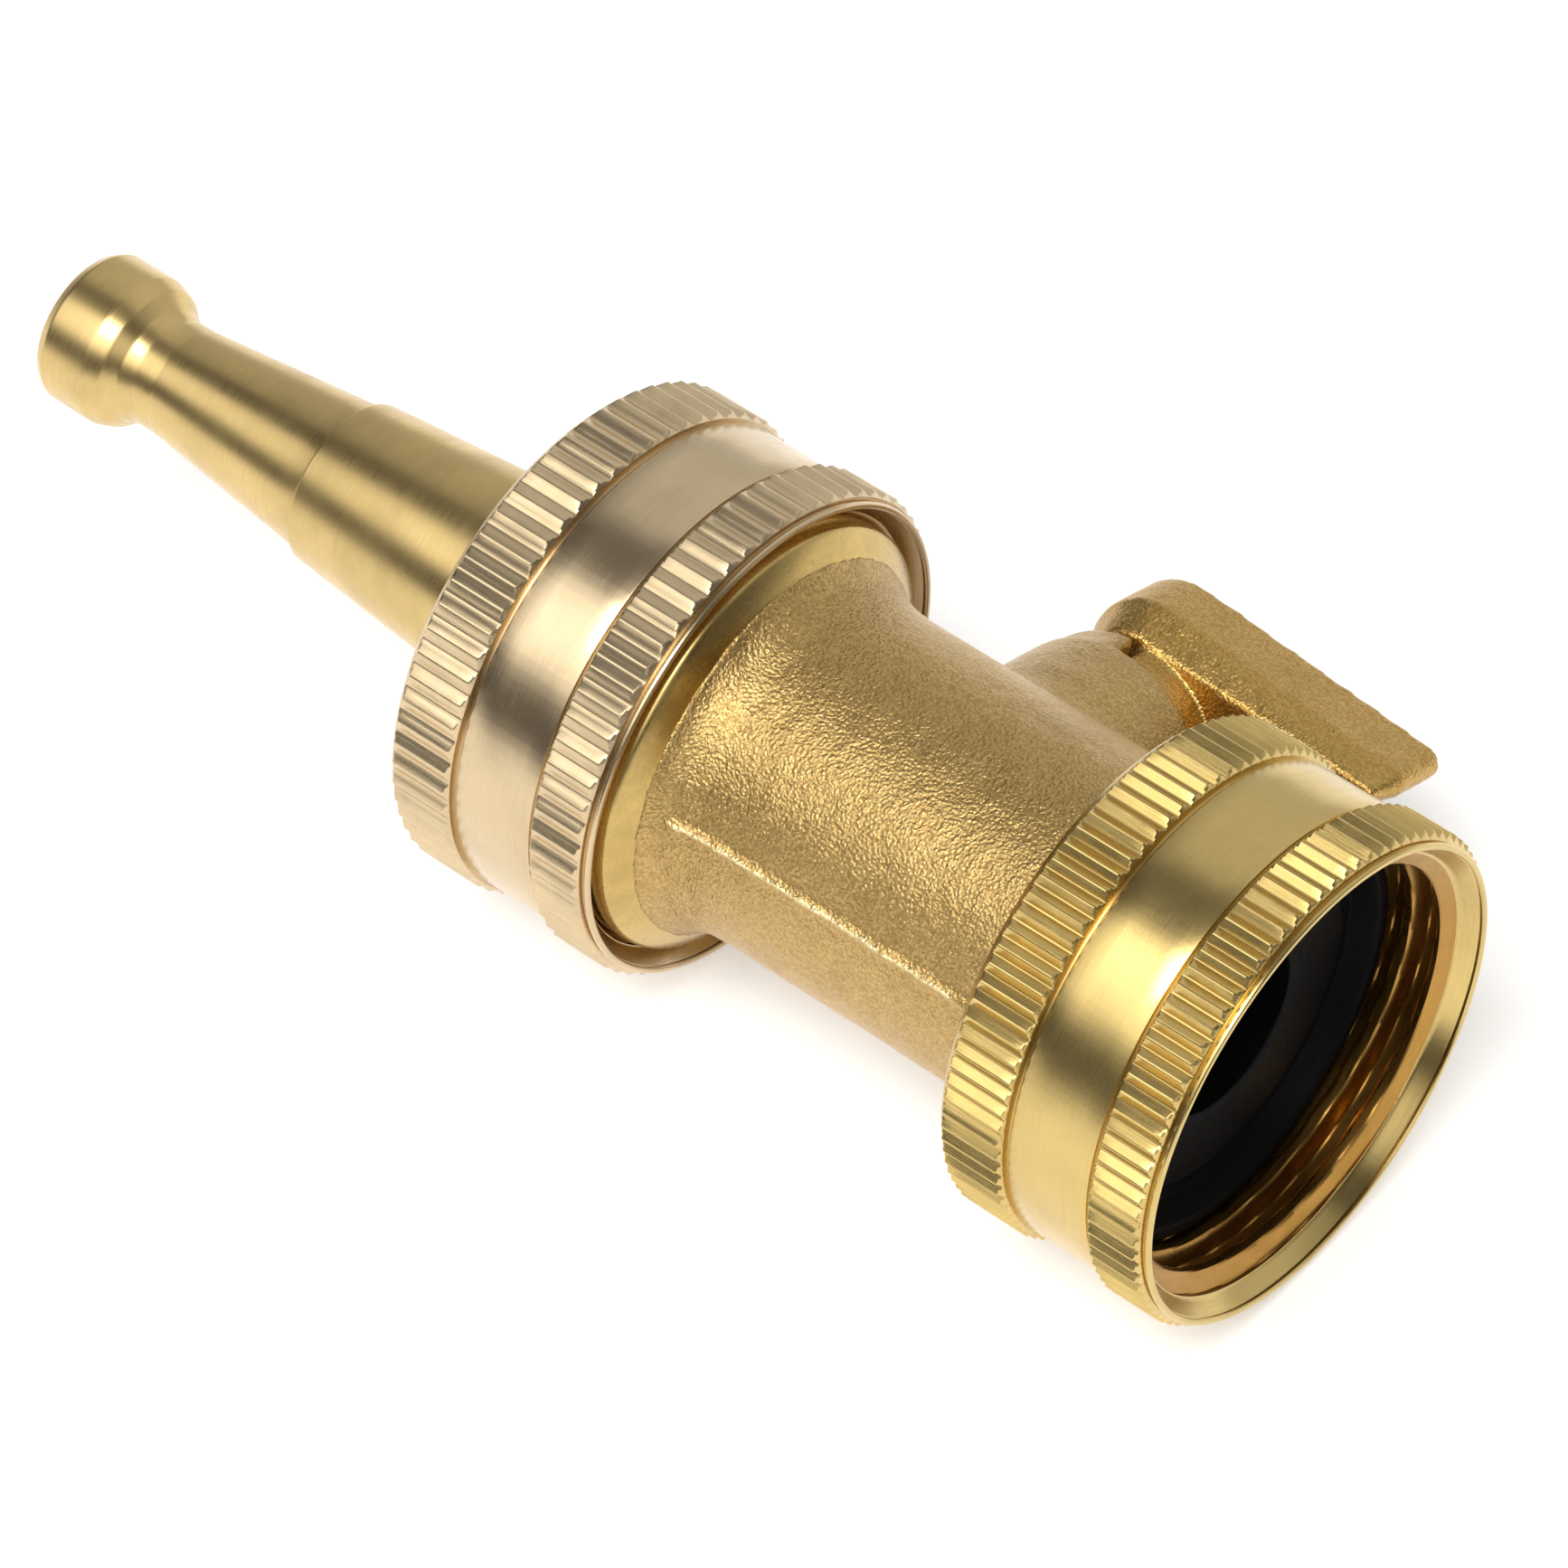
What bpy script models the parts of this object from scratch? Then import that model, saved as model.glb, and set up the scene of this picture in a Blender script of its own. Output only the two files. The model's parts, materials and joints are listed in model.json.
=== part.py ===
"""Brass jet nozzle with a shut-off ball valve, for a 3/4 in hose thread.

The valve frame has +X along the waterway towards the jet, -Y along the stem towards the lever and +Z
square to both, with its origin where the stem axis crosses the waterway. Each axis empty below it has
its own +Z along its axis, so every piece is modelled upright on the axis that it turns about. The valve
frame is rolled about X so that the nozzle lies on its two nuts and the edge of the lever. Metres.
"""

import math

import bmesh
import bpy
from mathutils import Matrix, Vector

MM = 0.001
GAP = 0.3 * MM
SMOOTH_BELOW = math.radians(32)

# Nuts: both have the same section, measured from the mouth.
NUT_R = 15.0 * MM
NUT_LENGTH = 14.1 * MM
NUT_CORE_R = 14.5 * MM
NUT_VALLEY_R = 14.62 * MM
NUT_LIP_R = 14.58 * MM
NUT_MOUTH_R = 14.2 * MM
NUT_BORE_R = 13.55 * MM
NUT_WALL = 2.4 * MM
KNURL_BANDS = ((0.45 * MM, 3.9 * MM), (9.7 * MM, 13.75 * MM))
INLET_TEETH = 88
FRONT_TEETH = 64
INLET_MOUTH_X = -26.6 * MM
FRONT_MOUTH_X = 11.8 * MM

# Valve body.
BODY_R = 10.3 * MM
BODY_BACK_X = -11.7 * MM
SPIGOT_R = 12.9 * MM
SPIGOT_END_X = 18.4 * MM
CAVITY_R = 7.6 * MM
CAVITY_END_X = 7.2 * MM
BOSS_R = 6.7 * MM
BOSS_TOP = 15.7 * MM
STEM_BORE_R = 3.7 * MM

# Ball, seats and waterway.
BALL_R = 7.0 * MM
WATERWAY_R = 4.5 * MM
SEAT_OUTER_R = 7.3 * MM
SEAT_BACK = 6.9 * MM

# Stem and lever, as heights from the waterway axis.
COLLAR_R = 4.6 * MM
STEM_R = 3.4 * MM
STEM_SHOULDER = 18.5 * MM
STEM_TOP = 21.0 * MM
STEM_SQUARE = 4.6 * MM
SKIRT_BASE = 16.0 * MM
LEVER_BASE = 18.2 * MM
LEVER_TOP = 24.0 * MM
LEVER_EDGE = 0.5 * MM
LEVER_ANGLE = math.radians(17.9)
LEVER_HEAD_R = 4.0 * MM
LEVER_HEAD_OFFSET = 3.37 * MM
LEVER_TIP_R = 1.25 * MM
LEVER_REACH = 16.07 * MM
STOP_INNER_R = 4.9 * MM
LUG_TOP = 17.6 * MM
LUG_START, LUG_END = 97.0, 173.0
LEVER_TRAVEL = 90.0

# Tailpiece, hose washer, nozzle.
TAIL_R = 7.3 * MM
NECK_R = 9.2 * MM
TAIL_FLANGE_R = 12.2 * MM
TAIL_FLANGE_X = -15.3 * MM
TAIL_END_X = -17.3 * MM
HOSE_WASHER_X = -20.6 * MM
NOZZLE_FLANGE_X = 20.8 * MM
NOZZLE_TIP_X = 61.7 * MM
JET_R = 3.0 * MM


def clear_scene():
    for item in list(bpy.data.objects):
        bpy.data.objects.remove(item, do_unlink=True)


def collection(name):
    made = bpy.data.collections.new(name)
    bpy.context.scene.collection.children.link(made)
    return made


def surface(name, colour, roughness, metallic=1.0):
    material = bpy.data.materials.new(name)
    material.use_nodes = True
    shader = material.node_tree.nodes["Principled BSDF"]
    shader.inputs["Base Color"].default_value = (*colour, 1.0)
    shader.inputs["Roughness"].default_value = roughness
    shader.inputs["Metallic"].default_value = metallic
    return material


def axis_empty(name, parent=None, turn=(0.0, 0.0, 0.0)):
    item = bpy.data.objects.new(name, None)
    item.empty_display_size = 5 * MM
    item.parent = parent
    item.rotation_euler = turn
    PARTS.objects.link(item)
    return item


def place(item, parent, material=None):
    """Puts a new object on its axis, in the collection of parts."""
    for holder in list(item.users_collection):
        holder.objects.unlink(item)
    PARTS.objects.link(item)
    item.parent = parent
    if material is not None:
        item.data.materials.append(material)
    return item


def lathe(name, profile, steps, parent, material=None, solid=False):
    """A turned shape from points (height, radius). A solid one is closed through the axis, not a ring."""
    points = [(radius, height) for height, radius in profile]
    if solid:
        points = [(0.0, points[0][1])] + points + [(0.0, points[-1][1])]
    turning = sum(
        r0 * z1 - r1 * z0 for (r0, z0), (r1, z1) in zip(points, points[1:] + points[:1])
    )
    if turning > 0:
        points.reverse()
    edges = [(k, k + 1) for k in range(len(points) - 1)]
    if not solid:
        edges.append((len(points) - 1, 0))
    mesh = bpy.data.meshes.new(name)
    mesh.from_pydata([(r, 0.0, z) for r, z in points], edges, [])
    item = place(bpy.data.objects.new(name, mesh), parent, material)
    screw = item.modifiers.new("turn", "SCREW")
    screw.axis = "Z"
    screw.angle = 2 * math.pi
    screw.steps = steps
    screw.render_steps = steps
    screw.use_merge_vertices = True
    screw.merge_threshold = 0.00001
    return item


def plate(name, outlines, base, top, parent, material=None):
    """Flat outlines, the later ones holes in the first, as a solid between two heights."""
    curve = bpy.data.curves.new(name, "CURVE")
    curve.dimensions = "2D"
    curve.fill_mode = "BOTH"
    curve.extrude = (top - base) / 2
    for outline in outlines:
        spline = curve.splines.new("POLY")
        spline.points.add(len(outline) - 1)
        for point, (x, y) in zip(spline.points, outline):
            point.co = (x, y, 0.0, 1.0)
        spline.use_cyclic_u = True
    flat = bpy.data.objects.new(name + "_outline", curve)
    bpy.context.scene.collection.objects.link(flat)
    graph = bpy.context.evaluated_depsgraph_get()
    mesh = bpy.data.meshes.new_from_object(flat.evaluated_get(graph))
    bpy.data.objects.remove(flat, do_unlink=True)
    bm = bmesh.new()
    bm.from_mesh(mesh)
    bmesh.ops.remove_doubles(bm, verts=bm.verts, dist=0.000002)
    if len(outlines) == 1:
        bmesh.ops.dissolve_limit(bm, angle_limit=math.radians(1), verts=bm.verts, edges=bm.edges)
    bmesh.ops.translate(bm, verts=bm.verts, vec=(0.0, 0.0, (base + top) / 2))
    bmesh.ops.recalc_face_normals(bm, faces=bm.faces)
    bm.to_mesh(mesh)
    bm.free()
    return place(bpy.data.objects.new(name, mesh), parent, material)


def oring(name, height, ring_r, wire_r, parent):
    bpy.ops.mesh.primitive_torus_add(
        major_radius=ring_r, minor_radius=wire_r, major_segments=20, minor_segments=6,
    )
    item = bpy.context.object
    item.name = name
    item.location = (0.0, 0.0, height)
    return place(item, parent, rubber)


def washer(name, base, top, inner, outer, parent, material):
    return lathe(name, [(base, inner), (base, outer), (top, outer), (top, inner)], 20, parent, material)


def cuboid(name, low, high, parent):
    bpy.ops.mesh.primitive_cube_add(size=1.0)
    item = bpy.context.object
    item.name = name
    low, high = Vector(low), Vector(high)
    size = Matrix.Diagonal((*(high - low), 1.0))
    item.data.transform(Matrix.Translation((low + high) / 2) @ size)
    return place(item, parent)


def combine(target, other, operation):
    """Joins or cuts with a helper object, which moves to the cutters."""
    modifier = target.modifiers.new(other.name, "BOOLEAN")
    modifier.operation = operation
    modifier.solver = "EXACT"
    modifier.object = other
    PARTS.objects.unlink(other)
    CUTTERS.objects.link(other)
    other.hide_render = True
    other.display_type = "WIRE"


def arc(radius, start, end, steps):
    """Points (height, radius) on a circle about the origin, between two angles from the axis in degrees."""
    points = []
    for k in range(steps + 1):
        angle = math.radians(start + (end - start) * k / steps)
        points.append((radius * math.cos(angle), radius * math.sin(angle)))
    return points


def circle(radius, count):
    return [
        (radius * math.cos(2 * math.pi * k / count), radius * math.sin(2 * math.pi * k / count))
        for k in range(count)
    ]


def toothed(teeth):
    """The outline of a straight knurl: crests and valleys in turn."""
    points = []
    for k in range(2 * teeth):
        radius = NUT_VALLEY_R if k % 2 else NUT_R
        points.append((radius * math.cos(math.pi * k / teeth), radius * math.sin(math.pi * k / teeth)))
    return points


def nut(name, mouth, teeth, hole_r, parent, material):
    """A swivel nut: a turned cup, with a knurled band joined on at each end."""
    inner_wall = NUT_LENGTH - NUT_WALL
    profile = [
        (0.0, NUT_MOUTH_R), (0.0, NUT_LIP_R - 0.1 * MM), (0.2 * MM, NUT_LIP_R),
        (1.0 * MM, NUT_LIP_R), (1.0 * MM, NUT_CORE_R), (NUT_LENGTH - 1.0 * MM, NUT_CORE_R),
        (NUT_LENGTH - 1.0 * MM, NUT_LIP_R), (NUT_LENGTH, NUT_LIP_R - 0.2 * MM), (NUT_LENGTH, hole_r),
        (inner_wall, hole_r), (inner_wall, NUT_BORE_R), (1.3 * MM, NUT_BORE_R),
    ]
    cup = lathe(name, [(mouth + depth, radius) for depth, radius in profile], 40, parent, material)
    for number, (start, end) in enumerate(KNURL_BANDS):
        band = plate(f"{name}_knurl_{number}", [toothed(teeth), circle(14.0 * MM, 40)],
                     mouth + start, mouth + end, parent)
        combine(cup, band, "UNION")
    return cup


def seat(name, side, parent):
    """A ring with a hollow face that follows the ball."""
    face = [(side * height, radius) for height, radius in arc(BALL_R + 0.25 * MM, 41, 65, 3)]
    back = side * SEAT_BACK
    rim = [(side * 3.0 * MM, SEAT_OUTER_R), (back, SEAT_OUTER_R), (back, face[0][1])]
    return lathe(name, face + rim, 24, parent, ptfe)


def sector(name, inner, outer, base, top, start, end, parent):
    """Part of a ring round the stem, by angle from the inlet side towards the valve's +Z, in degrees."""
    steps = max(4, round(abs(end - start) / 9))
    outline = []
    for radius, order in ((outer, range(steps + 1)), (inner, range(steps, -1, -1))):
        for k in order:
            angle = math.radians(start + (end - start) * k / steps)
            outline.append((-radius * math.cos(angle), radius * math.sin(angle)))
    return plate(name, [outline], base, top, parent)


def lever_outline():
    """A wedge in plan, round at its wide head and at its tip: straight sides tangent to three circles."""
    circles = (
        (0.0, -LEVER_HEAD_OFFSET, LEVER_HEAD_R),
        (LEVER_REACH, 0.0, LEVER_TIP_R),
        (0.0, LEVER_HEAD_OFFSET, LEVER_HEAD_R),
    )
    turns = []
    for (u0, w0, r0), (u1, w1, r1) in zip(circles, circles[1:] + circles[:1]):
        reach = math.hypot(u1 - u0, w1 - w0)
        turns.append(math.atan2(w1 - w0, u1 - u0) - math.acos((r0 - r1) / reach))
    points = []
    for k, (u, w, radius) in enumerate(circles):
        start, end = turns[k - 1], turns[k]
        while end < start:
            end += 2 * math.pi
        for step in range(7):
            angle = start + (end - start) * step / 6
            along = u + radius * math.cos(angle)
            across = w + radius * math.sin(angle)
            points.append((
                -along * math.cos(LEVER_ANGLE) + across * math.sin(LEVER_ANGLE),
                along * math.sin(LEVER_ANGLE) + across * math.cos(LEVER_ANGLE),
            ))
    return points


def resting_roll():
    """The roll about X at which the lever's edge comes down to the level of the nuts."""
    heights = (LEVER_BASE + LEVER_EDGE, LEVER_TOP - LEVER_EDGE)
    points = [(-height, z) for height in heights for _, z in lever_outline()]
    low, high = 0.0, math.radians(45)
    for _ in range(60):
        roll = (low + high) / 2
        lowest = min(z * math.cos(roll) + y * math.sin(roll) for y, z in points)
        if lowest > -NUT_R:
            low = roll
        else:
            high = roll
    return low


clear_scene()
PARTS = collection("fire_hose_nozzle")
CUTTERS = collection("cutters")
CUTTERS.hide_render = True

cast_brass = surface("cast_brass", (0.56, 0.38, 0.16), 0.55)
yellow_brass = surface("yellow_brass", (0.72, 0.52, 0.22), 0.28)
pale_brass = surface("pale_brass", (0.72, 0.56, 0.34), 0.3)
turned_brass = surface("turned_brass", (0.74, 0.52, 0.20), 0.22)
chrome = surface("chrome", (0.78, 0.79, 0.80), 0.08)
steel = surface("steel", (0.62, 0.62, 0.60), 0.3)
rubber = surface("rubber", (0.015, 0.015, 0.016), 0.45, 0.0)
ptfe = surface("ptfe", (0.86, 0.86, 0.82), 0.4, 0.0)

ALONG_PIPE = (0.0, math.pi / 2, 0.0)
ALONG_STEM = (math.pi / 2, 0.0, 0.0)
valve = axis_empty("valve_frame")
pipe = axis_empty("pipe_axis", valve, ALONG_PIPE)
stem_axis = axis_empty("stem_axis", valve, ALONG_STEM)
inlet_axis = axis_empty("inlet_nut_axis", valve, ALONG_PIPE)
jet_axis = axis_empty("jet_axis", valve, ALONG_PIPE)
front_axis = axis_empty("front_nut_axis", jet_axis)

# Valve body: a turned outside with the stem boss and stop lug joined on, then the cavities cut.
valve_body = lathe(
    "valve_body",
    [(BODY_BACK_X, BODY_R - 0.2 * MM), (-11.2 * MM, BODY_R + 0.2 * MM), (-3.0 * MM, BODY_R),
     (6.5 * MM, BODY_R), (8.6 * MM, BODY_R + 0.2 * MM), (9.9 * MM, BODY_R + 0.55 * MM),
     (10.75 * MM, BODY_R + 0.9 * MM), (11.9 * MM, SPIGOT_R + 0.1 * MM), (12.4 * MM, SPIGOT_R + 0.2 * MM),
     (13.6 * MM, SPIGOT_R + 0.2 * MM), (13.8 * MM, SPIGOT_R), (SPIGOT_END_X - 0.8 * MM, SPIGOT_R),
     (SPIGOT_END_X, SPIGOT_R - 0.7 * MM)],
    36, pipe, cast_brass, solid=True,
)
boss = lathe("boss", [(7.0 * MM, BOSS_R), (BOSS_TOP - 0.4 * MM, BOSS_R), (BOSS_TOP, BOSS_R - 0.4 * MM)],
             28, stem_axis, solid=True)
lug = sector("stop_lug", STOP_INNER_R, BOSS_R - 0.25 * MM, BOSS_TOP - 1.0 * MM, LUG_TOP,
             LUG_START, LUG_END, stem_axis)
cavity = lathe(
    "cavity",
    [(BODY_BACK_X - 1.0 * MM, CAVITY_R), (CAVITY_END_X, CAVITY_R), (CAVITY_END_X, WATERWAY_R + 0.2 * MM),
     (14.0 * MM, WATERWAY_R + 0.2 * MM), (SPIGOT_END_X + 1.0 * MM, 9.2 * MM)],
    28, pipe, solid=True,
)
stem_bore = lathe(
    "stem_bore",
    [(4.0 * MM, COLLAR_R + GAP), (9.8 * MM, COLLAR_R + GAP), (9.8 * MM, STEM_BORE_R),
     (BOSS_TOP + 3.0 * MM, STEM_BORE_R)],
    24, stem_axis, solid=True,
)
combine(valve_body, boss, "UNION")
combine(valve_body, lug, "UNION")
combine(valve_body, cavity, "DIFFERENCE")
combine(valve_body, stem_bore, "DIFFERENCE")

# Ball and seats.
bpy.ops.mesh.primitive_uv_sphere_add(segments=24, ring_count=12, radius=BALL_R)
ball = place(bpy.context.object, stem_axis, chrome)
ball.name = "ball"
bpy.ops.mesh.primitive_cylinder_add(vertices=20, radius=WATERWAY_R, depth=3 * BALL_R, rotation=ALONG_PIPE)
bore = place(bpy.context.object, stem_axis)
bore.name = "ball_bore"
slot = cuboid("ball_slot", (-5.6 * MM, -1.35 * MM, 4.8 * MM), (5.6 * MM, 1.35 * MM, 9.0 * MM), stem_axis)
combine(ball, bore, "DIFFERENCE")
combine(ball, slot, "DIFFERENCE")
seat("seat_front", 1, pipe)
seat("seat_rear", -1, pipe)

# Tailpiece: screws into the body, presses the seats together and carries the inlet nut.
lathe(
    "tailpiece",
    [(-7.2 * MM, WATERWAY_R + 0.2 * MM), (-7.2 * MM, TAIL_R), (-8.5 * MM, TAIL_R), (-8.5 * MM, 6.1 * MM),
     (-10.1 * MM, 6.1 * MM), (-10.1 * MM, TAIL_R), (-12.0 * MM, TAIL_R), (-12.0 * MM, NECK_R),
     (-13.1 * MM, NECK_R), (-13.1 * MM, 7.9 * MM), (-14.5 * MM, 7.9 * MM), (-14.5 * MM, NECK_R),
     (TAIL_FLANGE_X, NECK_R), (TAIL_FLANGE_X, TAIL_FLANGE_R), (TAIL_END_X, TAIL_FLANGE_R),
     (TAIL_END_X, 6.4 * MM), (TAIL_END_X + 1.6 * MM, WATERWAY_R + 0.2 * MM)],
    28, pipe, turned_brass,
)
oring("tailpiece_oring", -9.3 * MM, 6.85 * MM, 0.6 * MM, pipe)
oring("inlet_swivel_oring", -13.8 * MM, 8.75 * MM, 0.55 * MM, pipe)

# Stem, its seals and the lever.
stem = lathe(
    "stem",
    [(7.65 * MM, COLLAR_R), (8.9 * MM, COLLAR_R), (8.9 * MM, STEM_R), (11.0 * MM, STEM_R),
     (11.0 * MM, 2.5 * MM), (12.4 * MM, 2.5 * MM), (12.4 * MM, STEM_R), (13.2 * MM, STEM_R),
     (13.2 * MM, 2.5 * MM), (14.6 * MM, 2.5 * MM), (14.6 * MM, STEM_R), (STEM_SHOULDER - GAP, STEM_R)],
    20, stem_axis, yellow_brass, solid=True,
)
half = STEM_SQUARE / 2
tang = cuboid("tang", (-2.6 * MM, -1.05 * MM, 5.1 * MM), (2.6 * MM, 1.05 * MM, 8.2 * MM), stem_axis)
drive = cuboid("drive", (-half, -half, 17.0 * MM), (half, half, STEM_TOP), stem_axis)
screw_hole = lathe("screw_hole", [(15.6 * MM, 1.6 * MM), (STEM_TOP + 1.0 * MM, 1.6 * MM)], 16, stem_axis,
                   solid=True)
combine(stem, tang, "UNION")
combine(stem, drive, "UNION")
combine(stem, screw_hole, "DIFFERENCE")
oring("stem_oring_lower", 11.7 * MM, 3.08 * MM, 0.5 * MM, stem_axis)
oring("stem_oring_upper", 13.9 * MM, 3.08 * MM, 0.5 * MM, stem_axis)
washer("stem_thrust_washer", 9.1 * MM, 9.6 * MM, 3.65 * MM, 4.7 * MM, stem_axis, ptfe)
washer("stem_washer", 15.95 * MM, 16.5 * MM, 3.65 * MM, 4.6 * MM, stem_axis, steel)

lever = plate("lever", [lever_outline()], LEVER_BASE, LEVER_TOP, stem_axis, cast_brass)
rounding = lever.modifiers.new("edges", "BEVEL")
rounding.width = LEVER_EDGE
rounding.segments = 2
rounding.limit_method = "ANGLE"
rounding.angle_limit = math.radians(60)
skirt_end = LUG_END - 360.0 + LEVER_TRAVEL
skirt = sector("lever_skirt", STOP_INNER_R, BOSS_R - 0.25 * MM, SKIRT_BASE, LEVER_BASE + 1.0 * MM,
               LUG_START - 1.5, skirt_end + 1.5, stem_axis)
hole_half = half + 0.25 * MM
lever_hole = cuboid("lever_hole", (-hole_half, -hole_half, 17.0 * MM), (hole_half, hole_half, 25.0 * MM),
                    stem_axis)
recess = lathe("head_recess", [(21.4 * MM, 3.9 * MM), (25.0 * MM, 3.9 * MM)], 24, stem_axis, solid=True)
combine(lever, skirt, "UNION")
combine(lever, lever_hole, "DIFFERENCE")
combine(lever, recess, "DIFFERENCE")
washer("lever_washer", 21.65 * MM, 22.1 * MM, 1.8 * MM, 3.6 * MM, stem_axis, steel)
screw = lathe(
    "lever_screw",
    [(16.6 * MM, 1.3 * MM), (22.3 * MM, 1.3 * MM), (22.3 * MM, 3.0 * MM), (23.2 * MM, 3.0 * MM),
     (23.7 * MM, 2.4 * MM), (23.9 * MM, 1.4 * MM)],
    20, stem_axis, steel, solid=True,
)
for number, (wide, deep) in enumerate(((1.9 * MM, 0.35 * MM), (0.35 * MM, 1.9 * MM))):
    cross = cuboid(f"cross_{number}", (-wide, -deep, 22.9 * MM), (wide, deep, 25.0 * MM), stem_axis)
    combine(screw, cross, "DIFFERENCE")

# Inlet end: the swivel nut and the hose washer against the tailpiece.
nut("inlet_nut", INLET_MOUTH_X, INLET_TEETH, NECK_R + GAP, inlet_axis, yellow_brass)
lathe(
    "hose_washer",
    [(HOSE_WASHER_X, 5.2 * MM), (HOSE_WASHER_X, 9.4 * MM), (HOSE_WASHER_X + 0.4 * MM, 9.7 * MM),
     (HOSE_WASHER_X + 0.4 * MM, 11.0 * MM), (HOSE_WASHER_X, 11.3 * MM), (HOSE_WASHER_X, 12.7 * MM),
     (TAIL_END_X - GAP, 12.7 * MM), (TAIL_END_X - GAP, 5.2 * MM)],
    28, inlet_axis, rubber,
)

# Jet end: the nozzle, its washer and the nut that clamps it to the spigot.
lathe(
    "nozzle",
    [(NOZZLE_FLANGE_X, 6.2 * MM), (NOZZLE_FLANGE_X, 12.9 * MM), (22.8 * MM, 12.9 * MM), (22.8 * MM, 6.75 * MM),
     (32.6 * MM, 5.82 * MM), (41.7 * MM, 5.0 * MM), (42.6 * MM, 4.75 * MM), (43.4 * MM, 4.45 * MM),
     (54.0 * MM, 3.32 * MM), (55.4 * MM, 3.3 * MM), (56.2 * MM, 3.6 * MM), (57.0 * MM, 4.3 * MM),
     (58.0 * MM, 4.65 * MM), (60.9 * MM, 4.65 * MM), (61.5 * MM, 4.3 * MM), (NOZZLE_TIP_X, 3.8 * MM),
     (NOZZLE_TIP_X, JET_R), (55.0 * MM, 2.4 * MM), (48.0 * MM, 2.6 * MM), (41.7 * MM, 3.4 * MM),
     (22.3 * MM, 5.3 * MM)],
    28, jet_axis, turned_brass,
)
washer("front_washer", SPIGOT_END_X + GAP, NOZZLE_FLANGE_X - GAP, 9.0 * MM, 12.7 * MM, jet_axis, rubber)
washer("nozzle_slip_ring", 23.05 * MM, 23.35 * MM, 7.4 * MM, 12.4 * MM, jet_axis, ptfe)
nut("front_nut", FRONT_MOUTH_X, FRONT_TEETH, 7.1 * MM, front_axis, pale_brass)

# Lay the nozzle down, centred over the origin with its lowest point at Z = 0, and smooth the round faces.
valve.rotation_euler = (resting_roll(), 0.0, 0.0)
bpy.context.view_layer.update()
graph = bpy.context.evaluated_depsgraph_get()
corners = []
for item in [item for item in PARTS.objects if item.type == "MESH"]:
    mesh = bpy.data.meshes.new_from_object(item.evaluated_get(graph))
    mesh.shade_smooth()
    mesh.set_sharp_from_angle(angle=SMOOTH_BELOW)
    item.modifiers.clear()
    item.data = mesh
    corners += [item.matrix_world @ vertex.co for vertex in mesh.vertices]
low = [min(corner[axis] for corner in corners) for axis in range(3)]
high = [max(corner[axis] for corner in corners) for axis in range(3)]
valve.location = (-(low[0] + high[0]) / 2, -(low[1] + high[1]) / 2, -low[2])
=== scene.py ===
"""Looks of the brass jet nozzle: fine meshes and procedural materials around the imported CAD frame."""

import json
import math

import bmesh
import bpy
import numpy as np
from mathutils import Matrix, Vector, noise


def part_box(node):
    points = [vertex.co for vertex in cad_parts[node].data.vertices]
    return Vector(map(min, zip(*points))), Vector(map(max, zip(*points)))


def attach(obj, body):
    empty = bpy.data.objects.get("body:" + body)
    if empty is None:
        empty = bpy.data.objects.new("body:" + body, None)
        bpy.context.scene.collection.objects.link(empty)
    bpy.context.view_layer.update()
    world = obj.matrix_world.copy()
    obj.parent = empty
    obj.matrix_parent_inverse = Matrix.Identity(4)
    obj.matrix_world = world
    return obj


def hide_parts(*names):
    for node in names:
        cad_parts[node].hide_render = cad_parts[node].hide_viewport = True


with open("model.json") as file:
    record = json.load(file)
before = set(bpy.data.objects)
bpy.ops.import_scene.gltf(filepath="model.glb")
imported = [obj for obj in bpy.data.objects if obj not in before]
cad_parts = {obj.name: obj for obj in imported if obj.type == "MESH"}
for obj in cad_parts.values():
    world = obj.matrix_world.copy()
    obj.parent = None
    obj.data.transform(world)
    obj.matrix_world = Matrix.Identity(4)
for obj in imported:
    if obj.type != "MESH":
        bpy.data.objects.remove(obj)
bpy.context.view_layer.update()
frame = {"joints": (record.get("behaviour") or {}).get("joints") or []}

MM = 0.001

# The valve frame of the CAD: X along the pipe towards the jet, -Y along the stem, origin on both axes.
# Every size below is in mm in this frame, unless a comment says otherwise.
JOINTS = {joint["name"]: joint for joint in frame["joints"]}
PIPE = Vector(JOINTS["nozzle_slide"]["axis"]).normalized()
STEM = Vector(JOINTS["lever_turn"]["axis"]).normalized()
ORIGIN = Vector(JOINTS["lever_turn"]["pos_m"])
SIDE = PIPE.cross(-STEM)
VALVE = Matrix.Translation(ORIGIN) @ Matrix((PIPE, -STEM, SIDE)).transposed().to_4x4()
TO_STEM = Matrix(((0, 1, 0, 0), (-1, 0, 0, 0), (0, 0, 1, 0), (0, 0, 0, 1)))


def along_pipe(node, side):
    """A node's lowest (0) or highest (1) X in the valve frame, in mm."""
    return (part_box(node)[side].x - ORIGIN.x) / MM


INLET_MOUTH = along_pipe("inlet_nut", 0)
FRONT_MOUTH = along_pipe("front_nut", 0)
NOZZLE_TIP = along_pipe("nozzle", 1)

BODY_R = 10.3
BORE_R = 4.7
STEM_R = 3.4
BOSS_R, BOSS_TOP = 6.7, 15.7
LEVER_BASE, LEVER_TOP = 20.3, 24.0
LEVER_TILT = math.radians(17.9)

# The hose thread: 11.5 turns an inch, with its crests and the depth of its grooves inside the nuts.
PITCH = 25.4 / 11.5
CREST_R, GROOVE = 12.45, 1.05
THREAD_START = 1.75
KNURL_R = 15.0

FILLET_STEPS = 4
SHARP = 30.0
PLAIN, KNURLED, INSIDE = 0, 1, 2  # a nut's materials, by index


# ---------------------------------------------------------------- meshes


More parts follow.
